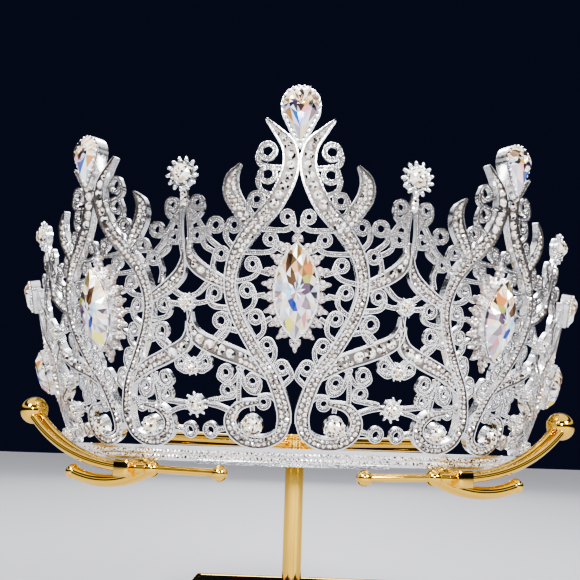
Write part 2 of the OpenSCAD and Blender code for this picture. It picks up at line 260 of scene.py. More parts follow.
def outlinePiece(points, fill="NGON"):
    # A circle whose corners are moved to the points, in millimetres
    piece = startFrom(bpy.ops.mesh.primitive_circle_add, vertices=len(points), radius=1,
                      fill_type=fill)
    for vertex, point in zip(piece.data.vertices, points):
        vertex.co = Vector(point) * mm
    return piece


def newMesh(name, points, faces):
    mesh = bpy.data.meshes.new(name)
    mesh.from_pydata(points, [], faces)
    mesh.update()
    return mesh


def paintFacetReflections(mesh, colourOf):
    # A painted reflection colour for each facet, held on its corners
    layer = mesh.color_attributes.new("paintedFacetReflection", "FLOAT_COLOR", "CORNER")
    values = np.ones((len(mesh.loops), 4), np.float32)
    for i, polygon in enumerate(mesh.polygons):
        values[polygon.loop_start:polygon.loop_start + polygon.loop_total, :3] = colourOf(i)
    layer.data.foreach_set("color", values.ravel())


def scatterPiece(name, template, places, material, reflectionTint=None,
                 angle=60):
    # One finished piece made of a copy of the template at each place; the template goes.
    # Its faces are sorted, so that each run gives the same facets the same painted
    # reflection tints
    co = np.array([v.co for v in template.data.vertices])
    faces = sorted((list(p.vertices) for p in template.data.polygons), key=sorted)
    points = np.concatenate([co @ m[:3, :3].T + m[:3, 3] for m in places])
    mesh = newMesh(name, points.tolist(), [[v + k * len(co) for v in f]
                                           for k in range(len(places)) for f in faces])
    if reflectionTint:
        paintFacetReflections(mesh, reflectionTint)
    piece = linkPiece(name, mesh)
    spare = template.data
    bpy.data.objects.remove(template)
    bpy.data.meshes.remove(spare)
    return finishPiece(name, piece, [material], angle=angle)


# Plated metals: colour, roughness, the grain's fineness and strength, and how far the
# roughness varies; and the crystals, whose facets hold painted colours for their reflections
# and glints
plates = {
    "rhodiumPlate": {"colour": (0.96, 0.96, 0.97), "rough": 0.19, "grain": 1400,
                     "bump": 0.5, "vary": 0.08},
    "tintedPlate": {"colour": (0.62, 0.56, 0.53), "rough": 0.3, "grain": 1200,
                    "bump": 0.5, "vary": 0.1},
    # The floor between a ribbon's rims: dark grey, as painted shade under and between the stones
    "paintedShadeBed": {"colour": (0.3, 0.27, 0.25), "rough": 0.4, "grain": 900,
                    "bump": 0.4, "vary": 0.1},
    "goldPlate": {"colour": (0.93, 0.61, 0.15), "rough": 0.08, "grain": 160,
                  "bump": 0.08, "vary": 0.04},
    # The stand plate's mirror top: near-black, as a painted reflection of the dark surroundings
    "darkReflectionPlate": {"colour": (0.10, 0.085, 0.05), "rough": 0.07, "grain": 120,
                    "bump": 0.03, "vary": 0.03},
}
crystals = {"foiledCrystal": {"metallic": 0.2, "rough": 0.06},
            "paveCrystal": {"metallic": 0.25, "rough": 0.08}}


def newMaterial(name):
    material = bpy.data.materials.new(name)
    material.use_nodes = True
    tree = material.node_tree
    return material, tree.nodes, tree.links, tree.nodes["Principled BSDF"]


def setInputs(node, values):
    for name, value in values.items():
        node.inputs[name].default_value = value


def addNode(nodes, kind, values=None):
    node = nodes.new("ShaderNode" + kind)
    setInputs(node, values or {})
    return node


def joinNodes(links, *rows):
    # Each row holds a node and its output, then the node and the input that it feeds
    for source, output, target, entry in rows:
        links.new(source.outputs[output], target.inputs[entry])


def makePlated(name, colour, rough, grain, bump, vary):
    # Plated metal with a faint cast grain, and duller or darker plating in patches
    material, nodes, links, shader = newMaterial(name)
    where = addNode(nodes, "TexCoord")
    fine = addNode(nodes, "TexNoise", {"Scale": grain, "Detail": 3})
    patches = addNode(nodes, "TexNoise", {"Scale": grain / 12})
    ramp = addNode(nodes, "MapRange", {"To Min": max(rough - vary, 0.02),
                                       "To Max": rough + vary})
    tone = addNode(nodes, "Mix")
    tone.data_type = "RGBA"
    setInputs(tone, {"A": (*[c * 0.9 for c in colour], 1),
                     "B": (*[min(c * 1.04, 1) for c in colour], 1)})
    dent = addNode(nodes, "Bump", {"Strength": bump, "Distance": 0.0002})
    setInputs(shader, {"Metallic": 1})
    joinNodes(links, (where, "Object", fine, "Vector"), (where, "Object", patches, "Vector"),
              (patches, "Fac", ramp, "Value"), (ramp, "Result", shader, "Roughness"),
              (patches, "Fac", tone, "Factor"), (tone, "Result", shader, "Base Color"),
              (fine, "Fac", dent, "Height"), (dent, "Normal", shader, "Normal"))
    return material


def makeCrystal(name, metallic, rough):
    # Foiled crystal: each facet shows a painted colour, standing in for its reflections and
    # glints, under a clear gloss
    material, nodes, links, shader = newMaterial(name)
    reflectionTint = addNode(nodes, "Attribute")
    reflectionTint.attribute_name = "paintedFacetReflection"
    where = addNode(nodes, "TexCoord")
    haze = addNode(nodes, "TexNoise", {"Scale": 500})
    span = addNode(nodes, "MapRange", {"To Min": rough, "To Max": rough * 2})
    setInputs(shader, {"Metallic": metallic, "IOR": 1.55, "Coat Weight": 0.6,
                       "Coat Roughness": 0.02})
    joinNodes(links, (where, "Object", haze, "Vector"), (haze, "Fac", span, "Value"),
              (span, "Result", shader, "Roughness"), (reflectionTint, "Color", shader, "Base Color"))
    return material


silver, haloSilver, shadedBedSilver, gold, plate = [makePlated(name, **look)
                                              for name, look in plates.items()]
crystal, paveGlass = [makeCrystal(name, **look) for name, look in crystals.items()]
print("materials ready")

# Camera at the photo's place, in millimetres and degrees
camera = {"spot": (2.28, -266.15, 57.04), "pan": -1.35, "pitch": 13.82, "roll": 1.842,
          "lens": 40.68, "sensor": 36, "nearest": 5}


def makeCamera():
    pan, pitch, roll = (math.radians(camera[k]) for k in ("pan", "pitch", "roll"))
    ahead = Vector((math.sin(pan) * math.cos(pitch), math.cos(pan) * math.cos(pitch),
                    math.sin(pitch)))
    right = Vector((math.cos(pan), -math.sin(pan), 0))
    up = right.cross(ahead)
    c, s = math.cos(roll), math.sin(roll)
    lensData = bpy.data.cameras.new("photoCamera")
    lensData.lens = camera["lens"]
    lensData.sensor_width = camera["sensor"]
    lensData.clip_start = camera["nearest"] * mm
    eye = linkPiece("photoCamera", lensData)
    eye.matrix_world = Matrix.Translation(Vector(camera["spot"]) * mm) @ Matrix(
        (right * c + up * s, up * c - right * s, -ahead)).transposed().to_4x4()
    bpy.context.scene.camera = eye


# Studio, in metres and watts
studio = {
    "floorSize": 8, "floorColour": (0.5, 0.5, 0.53), "floorRough": 0.6,
    "backColour": (0.011, 0.013, 0.03), "look": "AgX - High Contrast", "aim": (0, 0, 0.1),
    "lights": [  # place, size and watts
        ((-0.5, -0.75, 0.7), 0.3, 8), ((0.6, -0.65, 0.5), 0.25, 6.5),
        ((0.0, -0.9, 0.3), 0.15, 1.8), ((0.0, 0.3, 1.0), 0.5, 4), ((0.0, 0.9, 0.5), 0.5, 2)],
    # Brightness of the soft light by height, from the horizon to straight up
    "skyStrength": 0.9, "sky": [(0.05, 0.02), (0.2, 0.03), (0.26, 0.7), (0.4, 0.75),
                                (0.46, 0.04), (0.64, 0.05), (0.7, 1), (0.9, 1)],
}


def makeFloor():
    floor = startFrom(bpy.ops.mesh.primitive_plane_add, size=studio["floorSize"])
    floor.name = "studioFloor"
    material, nodes, links, shader = newMaterial("paleFloor")
    setInputs(shader, {"Base Color": (*studio["floorColour"], 1),
                       "Roughness": studio["floorRough"]})
    floor.data.materials.append(material)


def makeLights():
    for place, size, watts in studio["lights"]:
        lamp = startFrom(bpy.ops.object.light_add, type="AREA", location=place)
        lamp.data.size = size
        lamp.data.energy = watts
        aim = Vector(studio["aim"]) - Vector(place)
        lamp.rotation_euler = aim.to_track_quat("-Z", "Y").to_euler()


def makeSky():
    # Bands of soft light that light the crown, and the plain dark tone that the camera sees
    world = bpy.data.worlds.new("studioWorld")
    bpy.context.scene.world = world
    world.use_nodes = True
    nodes, links = world.node_tree.nodes, world.node_tree.links
    where = addNode(nodes, "TexCoord")
    parts = addNode(nodes, "SeparateXYZ")
    ramp = addNode(nodes, "ValToRGB")
    for at, level in studio["sky"]:
        ramp.color_ramp.elements.new(at).color = (level, level, level * 1.04, 1)
    ray = addNode(nodes, "LightPath")
    soft = nodes["Background"]
    setInputs(soft, {"Strength": studio["skyStrength"]})
    back = addNode(nodes, "Background", {"Color": (*studio["backColour"], 1)})
    mix = addNode(nodes, "MixShader")
    joinNodes(links, (where, "Generated", parts, "Vector"), (parts, "Z", ramp, "Fac"),
              (ramp, "Color", soft, "Color"), (ray, "Is Camera Ray", mix, "Fac"),
              (soft, "Background", mix, 1), (back, "Background", mix, 2),
              (mix, "Shader", nodes["World Output"], "Surface"))


makeCamera()
makeFloor()
makeLights()
makeSky()
bpy.context.scene.view_settings.look = studio["look"]
print("camera and studio ready")

# Ribbons with a raised rim on each side; x is a share of half the pitch, z of the crown's
# height and w of the widest ribbon
ribbons = {
    "width": 4.6, "rim": 0.4, "rimHeight": 0.5, "rimShare": 0.45, "steps": 6,
    "kinds": [
        {"name": "ogee", "thick": 1.8, "rows": [
            (0.28, 0.897, 0.15), (0.19, 0.865, 0.5), (0.088, 0.82, 0.88), (0.08, 0.755, 0.98),
            (0.2, 0.672, 1), (0.376, 0.609, 0.96), (0.53, 0.54, 0.86), (0.588, 0.46, 0.75),
            (0.53, 0.384, 0.75), (0.37, 0.298, 0.76), (0.2, 0.226, 0.8), (0.1, 0.15, 0.88),
            (0.09, 0.113, 0.86)]},
        {"name": "upperLeaf", "thick": 1.4, "rows": [
            (0.49, 0.779, 0.12), (0.565, 0.742, 0.75), (0.565, 0.7, 1),
            (0.49, 0.656, 0.95), (0.385, 0.605, 0.7)]},
        {"name": "secondLeaf", "thick": 1.4, "rows": [
            (0.985, 0.59, 0.12), (0.97, 0.555, 0.5), (0.92, 0.522, 0.8),
            (0.79, 0.491, 0.82), (0.58, 0.46, 0.6)]},
        {"name": "lowerLeaf", "thick": 1.4, "rows": [
            (0.975, 0.395, 0.12), (0.985, 0.363, 0.55), (0.92, 0.328, 0.9),
            (0.7, 0.297, 1), (0.46, 0.271, 0.9), (0.22, 0.232, 0.7)]},
    ],
    # Ring scroll round its centre: half width, half height, first and last angle, widths
    "scroll": {"x": 0.37, "z": 0.112, "wide": 0.28, "high": 0.053, "turn": (175, 455),
               "thick": 1.54,
               "widths": [0.86, 0.75, 0.78, 0.84, 0.83, 0.74, 0.56, 0.3]},
}


def ribbonPaths(panel, side):
    # Name, thickness and smooth rows of angle, height and width for each ribbon of a half
    width = ribbons["width"] * panelSize(panel)
    paths = []
    for kind in ribbons["kinds"]:
        rows = [(*onWall(panel, side * x, z), w * width) for x, z, w in kind["rows"]]
        paths.append((kind["name"], kind["thick"], smoothPath(rows, ribbons["steps"])))
    scroll = ribbons["scroll"]
    first, last = scroll["turn"]
    rows = []
    for i, w in enumerate(scroll["widths"]):
        t = math.radians(first + (last - first) * i / (len(scroll["widths"]) - 1))
        rows.append((*onWall(panel, side * (scroll["x"] + scroll["wide"] * math.cos(t)),
                             scroll["z"] + scroll["high"] * math.sin(t)), w * width))
    paths.append(("scroll", scroll["thick"], smoothPath(rows, ribbons["steps"])))
    return paths


def makeRibbon(rows, thick, widest=ribbons["rim"]):
    # A grid laid along the path; its outer faces are marked for the raised rims
    n = len(rows)
    piece = startFrom(bpy.ops.mesh.primitive_grid_add, x_subdivisions=3,
                      y_subdivisions=n - 1, size=1)
    point, _, out, side = pathFrames(rows)
    mesh = piece.data
    for vertex in mesh.vertices:
        column, i = round((vertex.co.x + 0.5) * 3), round((vertex.co.y + 0.5) * (n - 1))
        half = rows[i][2] / 2
        rim = min(widest, half * ribbons["rimShare"])
        across = (-half, -half + rim, half - rim, half)[column]
        vertex.co = point[i] + (side[i] * across - out[i] * thick / 2) * mm
    mark = mesh.attributes.new("isRim", "INT", "FACE")
    for polygon in mesh.polygons:
        lowest = min(v % 4 for v in polygon.vertices)
        mark.data[polygon.index].value = 0 if lowest == 1 else 1
    return piece


def thickenFaces(thick):
    bpy.ops.mesh.extrude_region_shrink_fatten(
        TRANSFORM_OT_shrink_fatten={"value": thick * mm})
    objectMode()


def raiseRims(piece, thick, high=ribbons["rimHeight"]):
    # The whole grid is extruded to the ribbon's thickness, then the rims stand up from it;
    # the floor between them is marked with a 2, for its dark painted shade
    editFaces(piece)
    thickenFaces(thick)
    mark = piece.data.attributes["isRim"]
    rimFaces = {p.index for p in piece.data.polygons if p.select and mark.data[p.index].value}
    for polygon in piece.data.polygons:
        if polygon.select and not mark.data[polygon.index].value:
            mark.data[polygon.index].value = 2
    editFaces(piece, lambda polygon: polygon.index in rimFaces)
    thickenFaces(high)


def finishRibbons(name, piece):
    # Closes the ribbons; the floor between two rims takes the second material, a dark grey
    # painted shade
    closeNormals(piece)
    finishPiece(name, piece, [silver, shadedBedSilver], ["crown_frame"])
    mark = piece.data.attributes["isRim"]
    for polygon in piece.data.polygons:
        polygon.material_index = 1 if mark.data[polygon.index].value == 2 else 0


def makeScrollwork():
    # All ribbons as one piece; gives back their paths for the stones
    groups = {}
    paths = []
    for panel in panels:
        for side in (-1, 1):
            for name, thick, rows in ribbonPaths(panel, side):
                groups.setdefault(thick, []).append(makeRibbon(rows, thick))
                paths.append((name, thick, rows))
    pieces = []
    for thick, members in groups.items():
        pieces.append(joinPieces(members))
        raiseRims(pieces[-1], thick)
    finishRibbons("crown_scrollwork", joinPieces(pieces))
    return paths


pavePaths = makeScrollwork()
print("ribbons ready")

# Rhinestones between the rims: as many across as fit, or a single row of larger ones,
# with its widest stone, from a share of the crown's height upwards
pave = {"stone": 1.45, "height": 0.55, "table": 0.55, "lean": 13, "tips": 0.75,
        "start": 0.3, "end": 0.7, "clear": 0.1, "sink": 0.1, "stretch": 1.1,
        "sizes": (0.9, 1.02),
        "singles": {"ogee": (2.8, 0.68), "lowerLeaf": (3.2, 0.29), "secondLeaf": (2.6, 0.5)}}
# Their facets' painted reflection and glint colours, each with its weight
paveReflectionTones = [((1, 1, 1), 10), ((0.95, 0.89, 0.8), 4), ((0.6, 0.47, 0.36), 2),
             ((0.25, 0.2, 0.18), 2), ((0.02, 0.018, 0.015), 4), ((0.9, 0.7, 0.68), 1)]


# Picks one painted reflection or glint colour for a pave facet
def paveReflectionTone(facet):
    tones, weights = zip(*paveReflectionTones)
    return random.choices(tones, weights)[0]


def makeRoundTemplate(diameter, height, table, girdle=0.3):
    # Eight-sided brilliant: a flat back, a girdle, crown facets and a pointed table
    piece = startFrom(bpy.ops.mesh.primitive_cylinder_add, vertices=8,
                      radius=diameter / 2 * mm, depth=height * girdle * mm,
                      location=(0, 0, height * girdle / 2 * mm))
    bpy.ops.object.transform_apply(location=True, rotation=True, scale=True)
    editFaces(piece, lambda polygon: polygon.normal.z > 0.9)
    extrudeUp(height * (1 - girdle))
    bpy.ops.transform.resize(value=(table, table, 1))
    bpy.ops.mesh.poke()
    objectMode()
    return piece


def scatterStones(name, diameter, height, table, places):
    scatterPiece(name, makeRoundTemplate(diameter, height, table), places, paveGlass,
                 paveReflectionTone, 0)


def stonePlaces(name, thick, rows):
    length, sample = pathSampler(rows)
    large, above = pave["singles"].get(name, (0, 2))
    places = []
    s = pave["start"]
    while s < length - pave["end"]:
        z, width = sample(s)[0][1:]
        room = width - 2 * ribbons["rim"] - pave["clear"]
        if room < pave["tips"]:
            s += pave["start"]
            continue
        single = z > above * crown["height"]
        count = 1 if single else max(1, round(room / pave["stone"]))
        across = min(room / count, large if single else pave["stone"] * pave["stretch"])
        for k in range(count):
            at = (k - (count - 1) / 2) * room / count
            size = across / pave["stone"] * random.uniform(*pave["sizes"])
            place = sample(s + across * (1 if k % 2 else 0.5))[1]
            places.append(pathMatrix(place, at, thick / 2 - pave["sink"], size,
                                     smallTilt(pave["lean"])))
        s += across
    return places


def makePave():
    places = [place for path in pavePaths for place in stonePlaces(*path)]
    scatterStones("pave_stones", pave["stone"], pave["height"], pave["table"], places)
    print("pave stones", len(places))


makePave()

# Band: a channel between two rims, swept round the wall's foot, with a thicker strip
# under its front and an eyelet at each end
band = {"steps": 184, "rim": 0.7, "channel": 0.5, "eyelet": 2.1, "eyeletWire": 0.55,
        "stone": 1.2, "stoneHigh": 0.45, "stoneTable": 0.55, "stoneStep": 1.04,
        "stoneSink": 0.03, "rows": (1.42, 2.78), "endGap": 1,
        "stripDrop": 0.6, "stripHalf": 19, "stripIn": 0.25, "stripOut": 0.72,
        "stripSteps": 40}


def spinProfile(profile, half, steps):
    # Spins an outline of radius and height round the crown's axis
    a = math.radians(half)
    piece = outlinePiece([(r * math.sin(a), -r * math.cos(a), z + crown["lift"])
                          for r, z in profile])
    editFaces(piece)
    bpy.ops.mesh.spin(steps=steps, angle=math.radians(2 * half), center=(0, 0, 0),
                      axis=(0, 0, 1))
    objectMode()
    closeNormals(piece)
    return piece


def makeEyelet(side):
    ring = startFrom(bpy.ops.mesh.primitive_torus_add, major_radius=band["eyelet"] * mm,
                     minor_radius=band["eyeletWire"] * mm, major_segments=28,
                     minor_segments=10)
    z = crown["bandHeight"] / 2
    edge = crown["bandHalf"] + math.degrees(band["eyelet"] / wallRadius(z))
    movePiece(ring, wallMatrix(side * edge, z))
    return ring


def makeBand():
    t, high, rim, channel = crown["bandThick"], crown["bandHeight"], band["rim"], band["channel"]
    profile = [(-t / 2, 0), (t / 2, 0), (t / 2, rim), (t / 2 - channel, rim),
               (t / 2 - channel, high - rim), (t / 2, high - rim), (t / 2, high), (-t / 2, high)]
    low = -band["stripDrop"]
    inner, outer = (wallRadius(0) + t * share for share in (-band["stripIn"], band["stripOut"]))
    strip = [(inner, low), (outer, low), (outer, rim / 2), (inner, rim / 2)]
    parts = [spinProfile([(wallRadius(z) + x, z) for x, z in profile], crown["bandHalf"],
                         band["steps"]),
             spinProfile(strip, band["stripHalf"], band["stripSteps"]),
             makeEyelet(-1), makeEyelet(1)]
    finishPiece("crown_band", joinPieces(parts), [silver], ["crown_frame"])
    places = []
    for i, z in enumerate(band["rows"]):
        step = math.degrees(band["stone"] * band["stoneStep"] / wallRadius(z))
        for k in range(int(2 * (crown["bandHalf"] - band["endGap"]) / step)):
            angle = -crown["bandHalf"] + band["endGap"] + (k + i / 2) * step
            places.append(wallMatrix(angle, z, out=t / 2 - channel - band["stoneSink"]))
    scatterStones("band_stones", band["stone"], band["stoneHigh"], band["stoneTable"], places)


makeBand()
print("band ready")

# Curled wires of half a main panel: the ring's centre, radius in millimetres and turn,
# then the points where its tail runs; x and z are shares as for the ribbons
wires = {"wide": 1.3, "thick": 1.0, "rim": 0.34, "rimHeight": 0.22, "bead": 0.24,
         "beadPitch": 0.62, "wound": 0.97, "tailFrom": 1.02, "ringSteps": 15,
         "tailSteps": 4, "strapSteps": 3}
curls = [
    (0.266, 0.812, 2.05, -1, [(0.35, 0.79), (0.29, 0.772), (0.13, 0.765)]),
    (0.262, 0.75, 2.0, -1, [(0.345, 0.73), (0.31, 0.706), (0.2, 0.69)]),
    (0.355, 0.684, 1.65, -1, [(0.43, 0.671), (0.41, 0.652), (0.34, 0.63)]),
    (0.55, 0.618, 1.6, -1, [(0.625, 0.6), (0.61, 0.578), (0.53, 0.55)]),
    (0.09, 0.638, 1.4, 1, [(0.04, 0.62), (0.11, 0.603), (0.33, 0.606)]),
    (0.234, 0.58, 1.4, 1, [(0.18, 0.562), (0.25, 0.546), (0.46, 0.546)]),
    (0.39, 0.516, 1.45, 1, [(0.33, 0.5), (0.4, 0.48), (0.56, 0.47)]),
    (0.44, 0.448, 1.45, 1, [(0.37, 0.432), (0.39, 0.408), (0.5, 0.385)]),
    (0.363, 0.38, 1.45, 1, [(0.29, 0.365), (0.3, 0.34), (0.4, 0.318)]),
    (0.26, 0.309, 1.45, 1, [(0.185, 0.294), (0.2, 0.272), (0.27, 0.25)]),
    (0.12, 0.252, 1.5, 1, [(0.033, 0.24), (0.03, 0.226), (0.13, 0.2)]),
    (0.74, 0.443, 1.6, -1, [(0.8, 0.426), (0.74, 0.408), (0.54, 0.402)]),
    (0.69, 0.372, 1.75, 1, [(0.61, 0.36), (0.66, 0.335), (0.76, 0.31)]),
    (0.405, 0.217, 1.5, 1, [(0.33, 0.205), (0.37, 0.187), (0.47, 0.2), (0.54, 0.255)]),
    (0.67, 0.239, 1.55, -1, [(0.735, 0.225), (0.62, 0.212), (0.5, 0.25)]),
    (0.66, 0.193, 1.5, 1, [(0.595, 0.178), (0.69, 0.172), (0.87, 0.165)]),
    (0.3, 0.163, 1.45, -1, [(0.35, 0.176), (0.22, 0.178), (0.12, 0.15)]),
]
# Plain wires of half a panel
straps = [
    [(0.53, 0.344), (0.66, 0.35), (0.75, 0.33)], [(0.545, 0.392), (0.66, 0.398)],
    [(0.41, 0.14), (0.415, 0.152), (0.42, 0.165)], [(0.41, 0.07), (0.415, 0.085)],
    [(0.62, 0.135), (0.76, 0.15), (0.9, 0.158)], [(0.52, 0.25), (0.54, 0.205), (0.55, 0.165)],
    [(0.0, 0.6), (0.06, 0.615)], [(0.2, 0.562), (0.12, 0.548)], [(0.35, 0.5), (0.24, 0.49)],
    [(0.385, 0.432), (0.28, 0.437)], [(0.3, 0.365), (0.22, 0.378)],
]
# Half of a seam: rings and wires beside the finial's neck and round the small stones
seamCurls = [
    (0.12, 0.703, 1.5, -1, [(0.17, 0.69), (0.15, 0.672), (0.06, 0.65)]),
    (0.11, 0.613, 1.5, -1, [(0.165, 0.6), (0.19, 0.58), (0.27, 0.565)]),
    (0.285, 0.638, 1.7, 1, [(0.215, 0.622), (0.23, 0.6), (0.31, 0.578)]),
    (0.33, 0.56, 1.5, 1, [(0.265, 0.545), (0.25, 0.52), (0.28, 0.49)]),
    (0.13, 0.274, 1.35, -1, [(0.17, 0.26), (0.1, 0.248), (0.05, 0.25)]),
    (0.12, 0.089, 1.65, -1, [(0.19, 0.083), (0.21, 0.09), (0.3, 0.095)]),
]
seamStraps = [
    [(0.02, 0.705), (0.07, 0.68), (0.15, 0.64), (0.22, 0.61)],
    [(0, 0.75), (0.025, 0.7), (0.045, 0.64), (0.04, 0.59), (0.02, 0.55)],
    [(0, 0.42), (0, 0.33)], [(0.02, 0.27), (0.09, 0.29), (0.15, 0.312)],
    [(0.02, 0.434), (0.1, 0.43), (0.2, 0.435)], [(0.02, 0.45), (0.1, 0.457), (0.2, 0.485)],
    [(0.02, 0.264), (0.1, 0.27)],
]


def curlPath(centre, radius, turn, tail):
    # The ring is wound nearly once before the wire leaves it towards its tail
    x0, z0 = centre
    perMm = math.degrees(1 / wallRadius(z0))
    local = [((a - x0) / perMm, z - z0) for a, z in tail]
    dx, dz = local[0]
    reach = max(math.hypot(dx, dz), radius * wires["tailFrom"])
    leave = math.atan2(dz, dx) - turn * math.acos(radius / reach)
    ring = []
    for k in range(wires["ringSteps"] + 1):
        t = leave - turn * 2 * math.pi * wires["wound"] * (1 - k / wires["ringSteps"])
        ring.append((radius * math.cos(t), radius * math.sin(t)))
    path = smoothPath([ring[-1]] + local, wires["tailSteps"])[1:]
    return [(x0 + px * perMm, z0 + pz) for px, pz in [*ring, *path]]


def wirePaths():
    # Every curled and plain wire, on both halves of each panel and of each seam
    paths = []
    for parts, rings, plain in ((panels, curls, straps), (seams, seamCurls, seamStraps)):
        for part in parts:
            size = panelSize(part) if part in panels else 1
            for side in (-1, 1):
                for x, z, radius, turn, tail in rings:
                    ends = [onWall(part, side * a, b) for a, b in tail]
                    paths.append(curlPath(onWall(part, side * x, z), radius * size,
                                          turn * side, ends))
                for strap in plain:
                    rows = [onWall(part, side * a, b) for a, b in strap]
                    paths.append(smoothPath(rows, wires["strapSteps"]))
    return paths


def makeWirework():
    paths = wirePaths()
    piece = joinPieces([makeRibbon([(a, z, wires["wide"]) for a, z in path], wires["thick"],
                                   wires["rim"]) for path in paths])
    raiseRims(piece, wires["thick"], wires["rimHeight"])
    finishRibbons("crown_wirework", piece)
    bead = startFrom(bpy.ops.mesh.primitive_ico_sphere_add, subdivisions=1,
                     radius=wires["bead"] * mm)
    places = [place for path in paths
              for place in pathPlaces([(a, z, 1) for a, z in path], wires["beadPitch"],
                                      wires["thick"] / 2)]
    scatterPiece("wire_beads", bead, places, silver)
    print("wires", len(paths), "beads", len(places))


makeWirework()


# Outlines of the stones, counter-clockwise, in millimetres
def navetteOutline(length, width, count):
    r = (length ** 2 + width ** 2) / width / 4
    a = math.asin(length / 2 / r)
    c = width / 2 - r
    half = count // 2
    right = [(c + r * math.cos(a * t), r * math.sin(a * t))
             for t in [-1 + 2 * k / half for k in range(half)]]
    return right + [(-x, -y) for x, y in right]


def pearOutline(length, width, count, flank=0.52):
    # A round head and two straight flanks, each with a point halfway that stands out a little
    c = (length - width) / 2
    b = math.acos(width / 2 / (length - width / 2))
    arcs = count - 3
    head = []
    for k in range(arcs):
        t = b - math.pi / 2 + k * (2 * math.pi - 2 * b) / (arcs - 1)
        head.append((width / 2 * math.cos(t), c + width / 2 * math.sin(t)))
    x, y = head[0][0] * flank, (head[0][1] - length / 2) / 2
    return [(0, -length / 2), (x, y), *head, (-x, y)]


def roundOutline(diameter, count):
    return [(diameter / 2 * math.cos(2 * math.pi * k / count),
             diameter / 2 * math.sin(2 * math.pi * k / count)) for k in range(count)]


def grownOutline(points, reach):
    # The outline moved outwards by a distance
    out = []
    n = len(points)
    for i in range(n):
        x, y = points[i]
        dx = points[(i + 1) % n][0] - points[i - 1][0]
        dy = points[(i + 1) % n][1] - points[i - 1][1]
        size = math.hypot(dx, dy)
        out.append((x + dy / size * reach, y - dx / size * reach))
    return out


cut = {"girdle": 0.5, "crown": 0.2, "table": 0.66, "middle": 0.85, "inner": 0.44,
       "core": 0.22, "bow": 0.45, "gap": 0.12, "floor": 1.1, "pavilion": 0.22,
       "stud": 1.8, "wall": 0.9}


def cutStone(name, points, width, base, colours, centre):
    # A brilliant: girdle, kites and triangles on the crown, and a table whose patches hold
    # painted colours for the back's facets as seen reflected through it
    n = len(points)
    top = base + cut["girdle"] + cut["crown"] * width
    mid = base + cut["girdle"] + cut["crown"] * width / 2
    cx, cy = centre

    def ring(share, height, which):
        return [(cx + (x - cx) * share, cy + (y - cy) * share, height)
                for x, y in (points[i % n] for i in which)]

    even, odd = range(0, n, 2), range(1, n, 2)
    m = n // 2
    co = ring(1, base, range(n)) + ring(1, base + cut["girdle"], range(n))
    co += ring(cut["middle"], mid, odd) + ring(cut["table"], top, even)
    for share, which in ((cut["inner"], odd), (cut["core"], even)):
        co += [(x, y, z + random.uniform(0, cut["bow"])) for x, y, z in ring(share, top, which)]
    co += [(cx, cy, top + cut["bow"]), (cx, cy, base)]
    edge, middle, table = n, 2 * n, 2 * n + m
    inner, core, hub = table + m, table + 2 * m, table + 3 * m
    faces = [[i, (i + 1) % n, n + (i + 1) % n, n + i] for i in range(n)]
    faces += [[(i + 1) % n, i, hub + 1] for i in range(n)]
    for j in range(m):
        k, last = (j + 1) % m, (j - 1) % m
        faces += [[edge + 2 * j, edge + 2 * j + 1, middle + j],
                  [edge + 2 * j + 1, edge + (2 * j + 2) % n, middle + j],
                  [table + j, middle + last, edge + 2 * j], [table + j, edge + 2 * j, middle + j],
                  [table + j, middle + j, table + k], [table + j, table + k, inner + j],
                  [table + j, inner + j, inner + last], [inner + last, inner + j, core + j],
                  [core + j, inner + j, core + k], [core + j, core + k, hub]]
    mesh = newMesh(name, [[c * mm for c in p] for p in co], faces)
    paintFacetReflections(mesh, lambda i: colours(Vector(mesh.polygons[i].center) / mm))
    return linkPiece(name, mesh)


# Painted reflection colours of the large stones: tints by height from the top down, then
# single facets by their place as shares of half the width and half the length
stoneReflectionZones = [
    (0.3, [(0.9, 0.84, 0.7), (0.76, 0.58, 0.36), (0.34, 0.2, 0.1), (0.95, 0.92, 0.86),
           (0.72, 0.45, 0.24), (0.05, 0.035, 0.025), (0.86, 0.88, 0.8), (0.85, 0.72, 0.52)]),
    (-0.12, [(0.6, 0.76, 0.84), (0.92, 0.87, 0.7), (0.55, 0.53, 0.58), (0.4, 0.28, 0.32),
             (0.95, 0.95, 0.97), (0.62, 0.68, 0.8), (0.8, 0.68, 0.48), (0.08, 0.07, 0.09)]),
    (-1.0, [(0.93, 0.95, 0.95), (0.88, 0.8, 0.52), (0.5, 0.45, 0.55), (0.72, 0.68, 0.8),
            (0.95, 0.95, 0.95), (0.3, 0.3, 0.28), (0.85, 0.66, 0.62), (0.75, 0.82, 0.78)]),
]
# Painted reflection colours for the facets of the small round stones
smallReflectionTints = [(0.98, 0.96, 0.9), (0.75, 0.6, 0.36), (1, 1, 1), (0.28, 0.2, 0.13),
              (0.88, 0.76, 0.55), (0.05, 0.04, 0.035), (0.95, 0.93, 0.88)]
